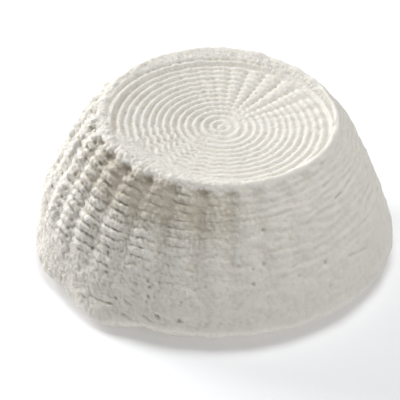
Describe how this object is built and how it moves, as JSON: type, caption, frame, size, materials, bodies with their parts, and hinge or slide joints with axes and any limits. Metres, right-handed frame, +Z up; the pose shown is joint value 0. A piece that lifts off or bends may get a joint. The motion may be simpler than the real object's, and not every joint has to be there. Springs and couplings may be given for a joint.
{
  "type": "ricotta cheese",
  "caption": "Whole fresh ricotta turned out of a round draining basket: nearly flat ringed top, smooth rim, ribbed and woven side, flat foot.",
  "frame": {"origin": "on the resting face, near the middle of the foot", "axes": "+Z up through the ringed face, -Y towards the front of the picture, +X towards its right, where the basket's print is faintest"},
  "size_m": [0.1725, 0.1707, 0.078],
  "materials": {
    "ricotta_curd": "moist, fine-grained curd, soft sheen"
  },
  "bodies": {
    "root": {"ricotta": "ricotta_curd"}
  },
  "joints": []
}
